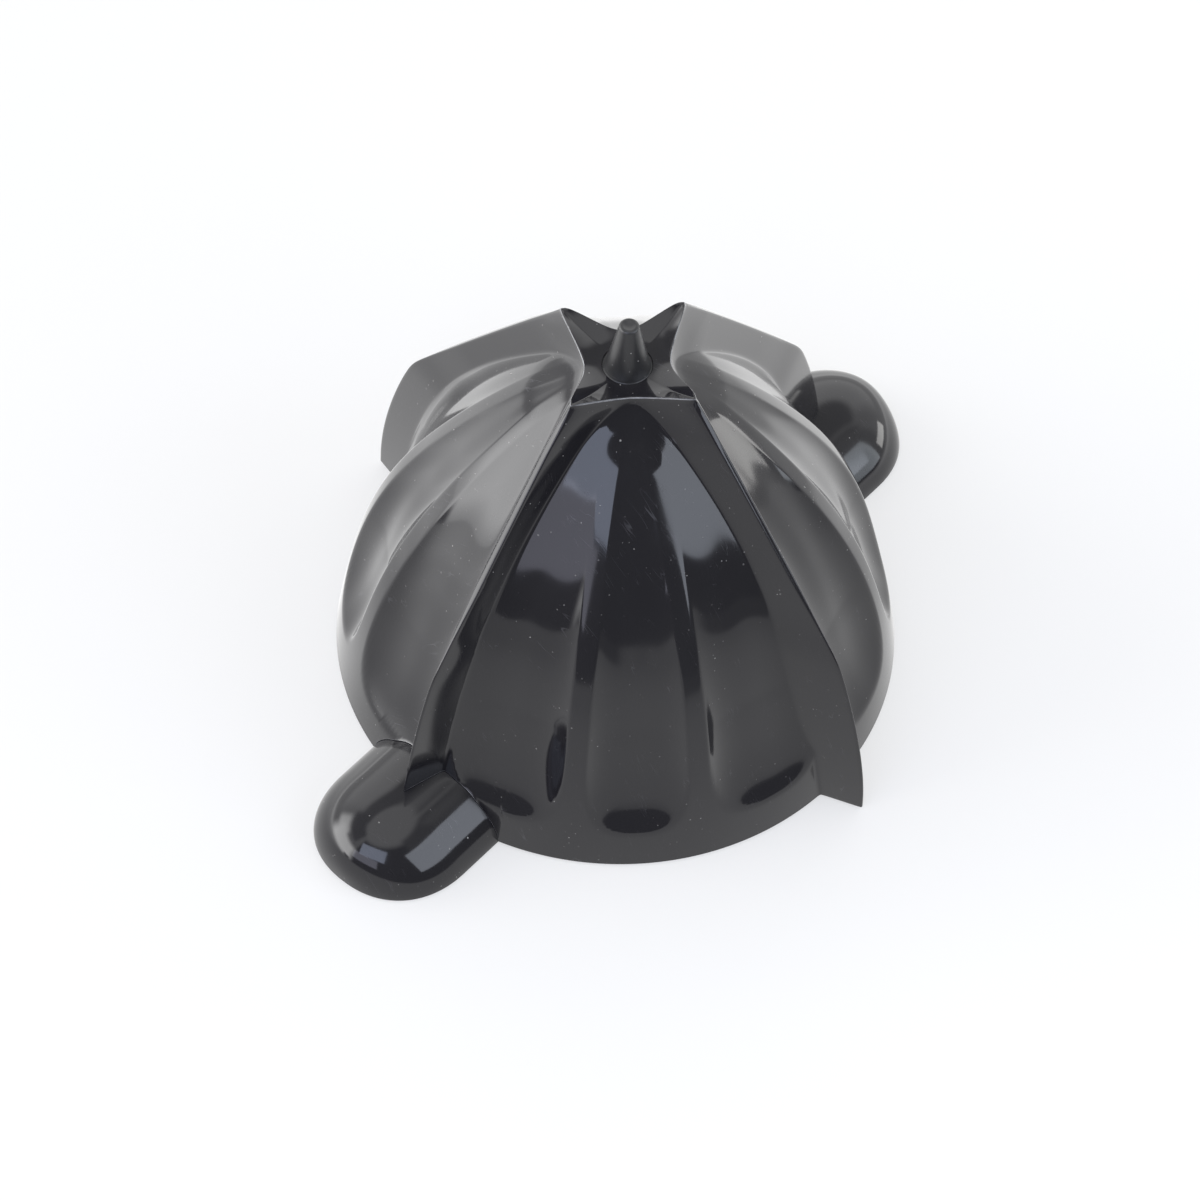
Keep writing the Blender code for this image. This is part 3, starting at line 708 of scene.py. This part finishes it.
    def rim_height(self, azimuth: Array, inset: float) -> Array:
        """Height of the lower edge: the rim, raised over each wiper cap to the notch's arch.

        Formula: lift + h (1 - (y / w)^2)^(m / 2) where y is the distance from the caps' line. The
        radius under y depends on the height, so the two are worked out in turn.

        Args:
            azimuth: angle round the axis.
            inset: 0 for the outer edge, the wall's thickness for the inner one.

        Returns:
            The height.
        """
        height = np.full_like(azimuth, self.rim_lift)
        across = np.sin(azimuth + self.notch_turn)
        near = np.abs(np.cos(azimuth)) > self.notch_side
        for _ in range(self.notch_passes):
            if inset > 0.0:
                radius = self.dome(azimuth, height, inset)
            else:
                radius = self.outside(azimuth, height)
            share = np.clip(np.abs(radius * across) / self.notch_half_width, 0.0, 1.0)
            arch = self.notch_height * (1.0 - share ** 2) ** (self.notch_rise / 2.0)
            height = self.rim_lift + np.where(near, arch, 0.0)
        return height

    def grid(self) -> Array:
        """Closed row of rings: up the outside, over the lip, down the well, through, down the inside.

        Returns:
            Points as rows by columns by three.
        """
        share = np.linspace(0.0, 1.0, self.outside_rows)
        azimuth = self.columns(share)
        low = self.rim_height(azimuth[0], 0.0)
        top = self.crown_height(azimuth) - self.lip
        low_here = self.rim_height(azimuth, 0.0)
        height = low_here + self.outer_edge + share[:, None] * (top - low_here - self.outer_edge)
        rows = [polar(self.outside(azimuth, height), azimuth, height)]
        rim = azimuth[-1]
        rim_radius, rim_height = self.outside(rim, height[-1]), self.crown_height(rim)
        angle = np.linspace(0.0, math.pi / 2.0, 6)[1:, None]
        rows.append(polar(rim_radius - self.lip * (1.0 - np.cos(angle)), rim[None, :],
                          rim_height - self.lip * (1.0 - np.sin(angle))))
        floor = self.crown_mid_height - self.well_drop
        inward = np.linspace(0.0, 1.0, self.well_rows)[1:, None] ** self.well_bunching
        start = rim_radius - self.lip
        well = start + (self.hole_radius - start) * inward
        sunk = floor + (rim_height - floor) * (1.0 - inward) ** self.well_curve
        rows.append(polar(well, rim[None, :], sunk))
        under = floor - self.wall
        bore = np.full_like(rim, self.hole_radius)
        rows.append(polar(bore, rim, np.array([[floor - self.hole_edge], [under]])))
        back = np.linspace(1.0, 0.0, self.inside_rows)
        inner = self.columns(back)
        low_inside = self.rim_height(inner, self.wall)
        down = low_inside + self.edge + back[:, None] * (under - low_inside - self.edge)
        rows.append(polar(self.dome(inner, down, self.wall), inner, down))
        edge_in = self.rim_height(inner[-1], self.wall)
        rows.append(polar(self.dome(inner[-1], edge_in, self.wall) + self.edge, inner[-1], edge_in)[None])
        turn = np.radians([0.0, 22.5, 45.0, 67.5])[:, None]
        rows.append(polar(self.outside(azimuth[0], low) - self.outer_edge * (1.0 - np.sin(turn)),
                          azimuth[0], low + self.outer_edge * (1.0 - np.cos(turn))))
        return np.vstack(rows)

    def highlight_share(self, grid: Array) -> Array:
        """Painted highlight on each point: the crown's lip and the outer edge over the wiper caps.

        Args:
            grid: the cone's points.

        Returns:
            Rows by columns, from 0 to 1.
        """
        highlight_amount = np.zeros(grid.shape[:2])
        low, high = self.highlight_heights
        highlight_amount[self.outside_rows + 1:self.outside_rows + 3] = self.lip_highlight
        highlight_amount[-3:] = smooth_step(grid[-3:, :, 2], self.rim_lift + self.outer_edge + low,
                                  self.rim_lift + high) * self.edge_highlight
        return highlight_amount

    def build(self, shelf: FinishShelf) -> Object:
        """Build and dress the cone."""
        grid = self.grid()
        piece = skin("large_cone_skin", grid, wrap_rows=True, highlight_share=self.highlight_share(grid))
        return place(piece, "outer_cone", "large_cone",
                     shelf.take(Finish.GLOSS, "large_cone"))


# ---------------------------------------------------------------- wiper caps

@dataclass
class WiperCap:
    """Hollow rounded cap over one arm: open below and towards the axis."""

    name: str
    side: float
    start: float = 0.0362
    end: float = 0.0588
    nose: float = 0.0125
    half_width: float = 0.0120
    height: float = 0.0087
    wall: float = 0.0017
    lift: float = 0.0004
    plan_power: float = 2.2
    nose_power: float = 2.6
    section_rise: float = 1.32
    turn: float = math.radians(-1.0)

    def arches(self, inset: float) -> Array:
        """Row of arches from the open end to the nose.

        Formula: the nose's half width and height are w (1 - s^p)^(1/p), s from 0 at the nose's
        start to 1 at its end, and the arch is (w cos a, h |sin a|^m).

        Args:
            inset: 0 for the outer surface, the wall for the inner one.

        Returns:
            Points as stations by points by three.
        """
        nose_start = self.end - self.nose
        straight = np.linspace(0.0, 1.0, 24)[:-1]
        along = self.start + (nose_start - self.start) * straight
        share = np.sin(np.linspace(0.0, math.pi / 2.0, 56))
        along = np.concatenate([along, nose_start + share * (self.nose - inset)])
        share = np.concatenate([np.zeros_like(straight), share])
        wide = (self.half_width - inset) * (1.0 - share ** self.plan_power) ** (1.0 / self.plan_power)
        tall = (self.height - inset) * (1.0 - share ** self.nose_power) ** (1.0 / self.nose_power)
        angle = np.linspace(0.0, math.pi, 73)
        up = np.abs(np.sin(angle)) ** self.section_rise
        return np.stack(np.broadcast_arrays(along[:, None], wide[:, None] * np.cos(angle)[None, :],
                                            self.lift + tall[:, None] * up[None, :]), -1)

    def build(self, shelf: FinishShelf) -> Object:
        """Build and dress the cap."""
        outer, inner = self.arches(0.0), self.arches(self.wall)
        grid = np.concatenate([outer, inner[:, ::-1]], 1)
        grid = grid * np.array([self.side, self.side, 1.0])
        turn = np.array([[math.cos(self.turn), math.sin(self.turn), 0.0],
                         [-math.sin(self.turn), math.cos(self.turn), 0.0], [0.0, 0.0, 1.0]])
        grid = grid @ turn
        piece = skin(f"{self.name}_skin", grid)
        close_open_end(piece)
        return place(piece, "carrier", self.name, shelf.take(Finish.GLOSS, self.name))


def close_open_end(piece: Object) -> None:
    """Bridge the two edges of an open rim with flat faces."""
    bm = bmesh.new()
    bm.from_mesh(piece.data)
    edges = [edge for edge in bm.edges if edge.is_boundary]
    bmesh.ops.contextual_create(bm, geom=edges)
    bmesh.ops.recalc_face_normals(bm, faces=bm.faces)
    bm.to_mesh(piece.data)
    bm.free()


# ---------------------------------------------------------------- centre pin

@dataclass
class CentrePin:
    """Tapered pin with its collar in the crown's hole and its shank below."""

    floor: float = 0.0628
    height: float = 0.0085
    base_radius: float = 0.0033
    tip_radius: float = 0.00145
    flare: float = 0.0002
    tip_round: float = 0.0005
    dimple: float = 0.0002
    collar_radius: float = 0.0035
    collar_edge: float = 0.00015
    seat: float = 0.0608
    shank_radius: float = 0.0018
    shank_length: float = 0.0090

    def profile(self) -> Array:
        """Radius and height from the shank's end to the tip.

        Formula of the taper: base - flare + (tip - base + flare) s + flare (1 - s)^6.

        Returns:
            Points of the profile.
        """
        points = [(0.0, self.seat - self.shank_length), (self.shank_radius, self.seat - self.shank_length),
                  (self.shank_radius, self.seat), (self.collar_radius, self.seat),
                  (self.collar_radius, self.floor - self.collar_edge),
                  (self.collar_radius - self.collar_edge, self.floor)]
        share = np.linspace(0.0, 1.0, 40)
        radius = self.base_radius - self.flare
        radius = radius + (self.tip_radius - radius) * share + self.flare * (1.0 - share) ** 6
        taper = np.stack([radius, self.floor + (self.height - self.tip_round) * share], 1)
        angle = np.linspace(0.0, math.pi / 2.0, 10)[1:]
        tip = self.floor + self.height
        rounding = np.stack([self.tip_radius - self.tip_round * (1.0 - np.cos(angle)),
                             tip - self.tip_round * (1.0 - np.sin(angle))], 1)
        flat = self.tip_radius - self.tip_round
        dish = np.linspace(1.0, 0.0, 8)[1:]
        hollow = np.stack([flat * dish, tip - self.dimple * (1.0 - dish ** 2)], 1)
        return np.vstack([points, taper, rounding, hollow])

    def build(self, shelf: FinishShelf) -> Object:
        """Build and dress the pin."""
        profile = self.profile()
        azimuth = np.linspace(0.0, 2.0 * math.pi, 97)[:-1]
        grid = polar(profile[:, :1], azimuth[None, :], profile[:, 1:])
        piece = skin("centre_pin_skin", grid, angle=40.0)
        return place(piece, "carrier", "centre_pin", shelf.take(Finish.PIN, "centre_pin"))


# ---------------------------------------------------------------- carried-over solids

@dataclass
class InnerSet:
    """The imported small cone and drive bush, which keep their solids and get their plastics."""

    finishes: dict = field(default_factory=lambda: {"small_cone": Finish.GLOSS,
                                                    "drive_bush": Finish.BUSH})

    def dress(self, shelf: FinishShelf) -> None:
        """Give each node its material."""
        for node, finish in self.finishes.items():
            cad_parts[node].material_slots[0].material = shelf.take(finish, node)


# ---------------------------------------------------------------- studio

@dataclass(frozen=True)
class Softbox:
    """Rectangular soft light that looks at the object.

    Its place and size are given as seen from the object: the middle's azimuth and elevation, and
    how many degrees it spans across and up.
    """

    name: str
    azimuth: float
    elevation: float
    across: float
    up: float
    radiance: float
    colour: tuple = (1.0, 1.0, 1.0)
    distance: float = 1.3

    def build(self) -> Object:
        """Place the light on its sphere, facing the object.

        Returns:
            The light's object.
        """
        light = bpy.data.lights.new(self.name, "AREA")
        light.shape = "RECTANGLE"
        light.size = 2.0 * self.distance * math.tan(math.radians(self.across) / 2.0)
        light.size_y = 2.0 * self.distance * math.tan(math.radians(self.up) / 2.0)
        light.energy = self.radiance * math.pi * light.size * light.size_y
        light.color = self.colour
        lamp = bpy.data.objects.new(self.name, light)
        bpy.context.scene.collection.objects.link(lamp)
        az, el = math.radians(self.azimuth), math.radians(self.elevation)
        away = np.array([math.cos(el) * math.cos(az), math.cos(el) * math.sin(az), math.sin(el)])
        right = np.array([-math.sin(az), math.cos(az), 0.0])
        up = np.cross(away, right)
        turn = Matrix(np.stack([right, up, away], 1).tolist()).to_4x4()
        turn.translation = away * self.distance + np.array([0.0, 0.0, 0.03])
        lamp.matrix_world = turn
        return lamp


@dataclass(frozen=True)
class Patch:
    """Soft-edged patch of one grey level round the object.

    On the room its reach goes by elevation in degrees, on the table by distance in millimetres.
    """

    azimuth: float
    half_width: float
    low: float
    high: float
    level: float
    soft: float = 4.0
    soft_reach: float = 4.0

    def mask(self, bench: NodeBench, azimuth: Socket, reach: Socket) -> Socket:
        """Share of the patch at a place: the product of a ramp round and two ramps outwards."""
        turned = bench.math("SUBTRACT", azimuth, self.azimuth)
        turned = bench.math("SUBTRACT", bench.math("MODULO", bench.math("ADD", turned, 900.0), 360.0),
                            180.0)
        beside = bench.ramp(bench.math("ABSOLUTE", turned), self.half_width - self.soft,
                            self.half_width + self.soft, 1.0, 0.0)
        above = bench.ramp(reach, self.low - self.soft_reach, self.low + self.soft_reach)
        below = bench.ramp(reach, self.high - self.soft_reach, self.high + self.soft_reach, 1.0, 0.0)
        return bench.math("MULTIPLY", beside, bench.math("MULTIPLY", above, below))


def layered(bench: NodeBench, level: float, patches: tuple, azimuth: Socket, reach: Socket) -> Socket:
    """Grey level with each patch laid over the ones before it."""
    for patch in patches:
        mixed = bench.node("ShaderNodeMix", data_type="FLOAT")
        bench.feed(mixed.inputs[0], patch.mask(bench, azimuth, reach))
        bench.feed(mixed.inputs[2], level)
        bench.feed(mixed.inputs[3], patch.level)
        level = mixed.outputs[0]
    return level


@dataclass
class Studio:
    """Pale table, soft light and the photograph's camera."""

    table_size: float = 3.0
    eye: tuple = (-0.31950409, -0.24984544, 0.57052116)
    aim: tuple = (0.00277008, 0.00532984, 0.0)
    roll: float = 0.03977745
    lens: float = 142.7525
    room_level: float = 1.15
    walls: tuple = (
        Patch(0.0, 400.0, 62.0, 100.0, 1.5),
        Patch(38.0, 66.0, 49.0, 66.0, 0.50, 8.0, 3.0),
        Patch(38.0, 50.0, 12.0, 46.0, 1.8, 12.0, 4.0),
        Patch(118.0, 30.0, -14.0, 1.0, 2.8, 8.0, 4.0),
        Patch(-125.0, 73.0, -20.0, 58.0, 0.20),
        Patch(-65.0, 32.0, 43.0, 63.0, 0.42, 5.0, 4.0),
        Patch(-45.0, 8.0, 0.0, 60.0, 0.70, 5.0, 5.0),
        Patch(118.0, 30.0, 40.0, 64.0, 0.40, 5.0, 4.0),
        Patch(110.0, 14.0, 15.0, 36.0, 5.0, 5.0, 5.0),
        Patch(134.0, 27.0, 1.0, 30.0, 6.6, 8.0, 6.0),
        Patch(154.0, 6.0, -10.0, 5.0, 0.60, 3.0, 2.5),
    )
    table_level: float = 1.0
    table_glow: tuple = (
        Patch(57.0, 95.0, 80.0, 9000.0, 1.95, 15.0, 35.0),
        Patch(0.0, 48.0, 200.0, 9000.0, 1.30, 12.0, 35.0),
        Patch(115.0, 30.0, -99.0, 95.0, 1.35, 10.0, 30.0),
        Patch(118.0, 30.0, 180.0, 9000.0, 2.60, 12.0, 60.0),
        Patch(-120.0, 70.0, 170.0, 9000.0, 0.80, 15.0, 80.0),
        Patch(-100.0, 28.0, 290.0, 9000.0, 0.30, 8.0, 30.0),
    )
    softboxes: tuple = (
        Softbox("softbox_front_right", -81.0, 30.0, 46.0, 32.0, 3.45, (0.82, 0.88, 1.0)),
        Softbox("softbox_front_left", -177.0, 21.5, 39.0, 17.0, 1.95, (0.82, 0.83, 1.0)),
        Softbox("softbox_front_left_top", -167.0, 41.5, 38.0, 23.0, 3.5, (0.70, 0.78, 1.0)),
        Softbox("softbox_corner", -54.5, 19.0, 11.0, 34.0, 2.6, (0.84, 0.92, 1.0)),
        Softbox("softbox_right", -34.0, 9.5, 18.0, 11.0, 4.5, (1.0, 0.99, 0.97)),
    )

    def camera(self) -> Object:
        """Camera at the photograph's viewing angle, turned a little about its line of sight.

        Returns:
            The camera's object.
        """
        eye, aim = np.array(self.eye), np.array(self.aim)
        forward = (aim - eye) / np.linalg.norm(aim - eye)
        right = np.cross(forward, (0.0, 0.0, 1.0))
        right /= np.linalg.norm(right)
        up = np.cross(right, forward)
        across = right * math.cos(self.roll) + up * math.sin(self.roll)
        over = -right * math.sin(self.roll) + up * math.cos(self.roll)
        data = bpy.data.cameras.new("photo_camera")
        data.lens = self.lens
        data.sensor_width = 36.0
        camera = bpy.data.objects.new("photo_camera", data)
        bpy.context.scene.collection.objects.link(camera)
        turn = Matrix(np.stack([across, over, -forward], 1).tolist()).to_4x4()
        turn.translation = eye
        camera.matrix_world = turn
        bpy.context.scene.camera = camera
        return camera

    def table(self) -> Object:
        """Pale table that gives light of its own, so that almost no shadow shows on it.

        The camera sees it plain. Every other ray sees a glow of patches, brighter towards the light
        side and darker towards the room's dark end, which stands in for an over-exposed table.

        Returns:
            The table's object.
        """
        half = self.table_size / 2.0
        count = 9
        side = np.linspace(-half, half, count)
        grid = np.stack(np.broadcast_arrays(side[:, None], side[None, :], 0.0), -1)
        mesh = bpy.data.meshes.new("table")
        index = np.arange(count * count).reshape(count, count)
        quads = np.stack([index[:-1, :-1], index[1:, :-1], index[1:, 1:], index[:-1, 1:]], -1)
        mesh.from_pydata(grid.reshape(-1, 3), [], quads.reshape(-1, 4).tolist())
        table = bpy.data.objects.new("table", mesh)
        bpy.context.scene.collection.objects.link(table)
        made = bpy.data.materials.new("pale_table")
        made.use_nodes = True
        shader = made.node_tree.nodes["Principled BSDF"]
        shader.inputs["Base Color"].default_value = (0.30, 0.30, 0.302, 1.0)
        shader.inputs["Roughness"].default_value = 0.6
        shader.inputs["Specular IOR Level"].default_value = 0.0
        shader.inputs["Emission Color"].default_value = (1.0, 1.0, 1.0, 1.0)
        shader.inputs["Emission Strength"].default_value = 0.55
        bench = NodeBench(made.node_tree)
        split = bench.node("ShaderNodeSeparateXYZ")
        bench.feed(split.inputs[0], bench.place((1000.0, 1000.0, 1000.0)))
        across, along = split.outputs["X"], split.outputs["Y"]
        azimuth = bench.math("DEGREES", bench.math("ARCTAN2", along, across))
        reach = bench.math("SQRT", bench.math("ADD", bench.math("MULTIPLY", across, across),
                                              bench.math("MULTIPLY", along, along)))
        glow = bench.node("ShaderNodeEmission")
        bench.feed(glow.inputs["Strength"],
                   layered(bench, self.table_level, self.table_glow, azimuth, reach))
        switch = bench.node("ShaderNodeMixShader")
        bench.feed(switch.inputs[0], bench.node("ShaderNodeLightPath").outputs["Is Camera Ray"])
        bench.feed(switch.inputs[1], glow.outputs[0])
        bench.feed(switch.inputs[2], shader.outputs[0])
        bench.feed(made.node_tree.nodes["Material Output"].inputs["Surface"], switch.outputs[0])
        mesh.materials.append(made)
        return table

    def room(self) -> None:
        """Room round the table: pale walls, dark where the photographer stands."""
        world = bpy.data.worlds.new("room")
        world.use_nodes = True
        bpy.context.scene.world = world
        bench = NodeBench(world.node_tree)
        where = bench.node("ShaderNodeTexCoord").outputs["Generated"]
        split = bench.node("ShaderNodeSeparateXYZ")
        bench.feed(split.inputs[0], where)
        azimuth = bench.math("DEGREES", bench.math("ARCTAN2", split.outputs["Y"], split.outputs["X"]))
        elevation = bench.math("DEGREES", bench.math("ARCSINE", split.outputs["Z"]))
        level = layered(bench, self.room_level, self.walls, azimuth, elevation)
        background = world.node_tree.nodes["Background"]
        bench.feed(background.inputs["Strength"], level)
        background.inputs["Color"].default_value = (1.0, 1.0, 1.0, 1.0)

    def build(self) -> None:
        """Set the whole studio up."""
        self.camera()
        self.table()
        self.room()
        for softbox in self.softboxes:
            softbox.build()
        bpy.context.scene.view_settings.view_transform = "Standard"


def main() -> None:
    """Build the set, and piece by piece."""
    logging.basicConfig(level=logging.INFO, format="%(name)s: %(message)s")
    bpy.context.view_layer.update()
    shelf = FinishShelf()
    Studio().build()
    for maker in (LargeCone(), WiperCap("wiper_cap_right", 1.0), WiperCap("wiper_cap_left", -1.0),
                  CentrePin()):
        piece = maker.build(shelf)
        log.info("%s: %d faces", piece.name, len(piece.data.polygons))
    InnerSet().dress(shelf)
    log.info("inner set dressed")


if __name__ == "__main__":
    main()
